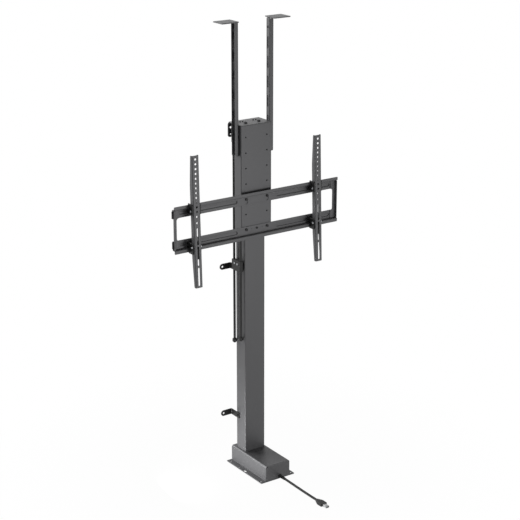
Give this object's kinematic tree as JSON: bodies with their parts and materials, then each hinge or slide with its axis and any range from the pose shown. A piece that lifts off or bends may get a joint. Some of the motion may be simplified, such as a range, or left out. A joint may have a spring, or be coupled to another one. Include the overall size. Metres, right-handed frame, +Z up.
{
  "type": "television lift column",
  "caption": "Floor-standing motorised column that raises a television: telescopic tube on a motor base, moving head with slotted frame and hooked arms, wall brackets and two lid bars.",
  "frame": {"origin": "on the floor under the column's vertical axis", "axes": "+Z up along the column, +X to the right seen from the front, the television faces -Y"},
  "size_m": [0.632, 0.475, 1.503],
  "materials": {
    "powder_coat": "fine-textured dark grey powder coat",
    "black_steel": "satin black",
    "zinc": "bright zinc plate",
    "drive_steel": "plain dark steel",
    "nylon": "natural nylon",
    "black_plastic": "moulded matt black",
    "rubber": "soft matt black",
    "clear_plastic": "milky connector plastic",
    "circuit_board": "green lacquered board"
  },
  "bodies": {
    "column": {"base_plate": "powder_coat", "base_cover": "powder_coat", "cover_screws": "black_steel", "gear_motor": "drive_steel", "motor_clamp": "zinc", "control_board": "circuit_board", "bearing_seat": "drive_steel", "spindle_bearing": "zinc", "outer_tube": "powder_coat", "tube_collar": "black_plastic", "top_wall_bracket": "powder_coat", "lower_bracket_left": "black_steel", "lower_bracket_right": "black_steel", "wall_bracket_screws": "black_steel", "guide_rod_rear": "black_steel", "guide_rod_front": "black_steel", "rod_nuts": "black_steel", "rod_holder": "black_plastic", "strain_relief": "rubber", "power_cable": "rubber", "plug_body": "black_plastic", "plug_tip": "clear_plastic"},
    "spindle": {"drive_spindle": "zinc", "spindle_stop": "drive_steel"},
    "head": {"inner_tube": "drive_steel", "lower_glides": "nylon", "spindle_nut": "nylon", "top_cap": "powder_coat", "cap_bolts": "drive_steel", "cap_screws": "black_steel", "head_shell": "powder_coat", "upper_rail": "powder_coat", "lower_rail": "powder_coat", "left_end_plate": "powder_coat", "right_end_plate": "powder_coat", "frame_bolts": "black_steel", "bar_screws": "zinc"},
    "left_lid": {"left_lid_bar": "powder_coat"},
    "right_lid": {"right_lid_bar": "powder_coat"},
    "left_tv_arm": {"left_arm": "powder_coat", "left_hooks": "black_steel", "left_arm_screws": "zinc"},
    "right_tv_arm": {"right_arm": "powder_coat", "right_hooks": "black_steel", "right_arm_screws": "zinc"},
    "sliding_bracket": {"clamp_bracket": "black_steel", "clamp_block": "black_plastic", "clamp_screws": "zinc"}
  },
  "joints": [
    {"name": "lift", "type": "slide", "parent": "column", "child": "head", "axis": [0, 0, 1], "range_m": [0, 0.7]},
    {"name": "spindle_turn", "type": "hinge", "parent": "column", "child": "spindle", "pos_m": [0, 0, 0.05], "axis": [0, 0, 1], "range_deg": [0, 21001]},
    {"name": "left_lid_slide", "type": "slide", "parent": "head", "child": "left_lid", "axis": [0, 0, 1], "range_m": [-0.02, 0.004]},
    {"name": "right_lid_slide", "type": "slide", "parent": "head", "child": "right_lid", "axis": [0, 0, 1], "range_m": [-0.02, 0.004]},
    {"name": "left_arm_slide", "type": "slide", "parent": "head", "child": "left_tv_arm", "axis": [1, 0, 0], "range_m": [-0.02, 0.14]},
    {"name": "right_arm_slide", "type": "slide", "parent": "head", "child": "right_tv_arm", "axis": [1, 0, 0], "range_m": [-0.12, 0.045]},
    {"name": "bracket_slide", "type": "slide", "parent": "column", "child": "sliding_bracket", "axis": [0, 0, 1], "range_m": [-0.21, 0.09]}
  ],
  "couplings": [
    {"joint": "spindle_turn", "follows": "lift", "rad_per_m": 523.6}
  ]
}
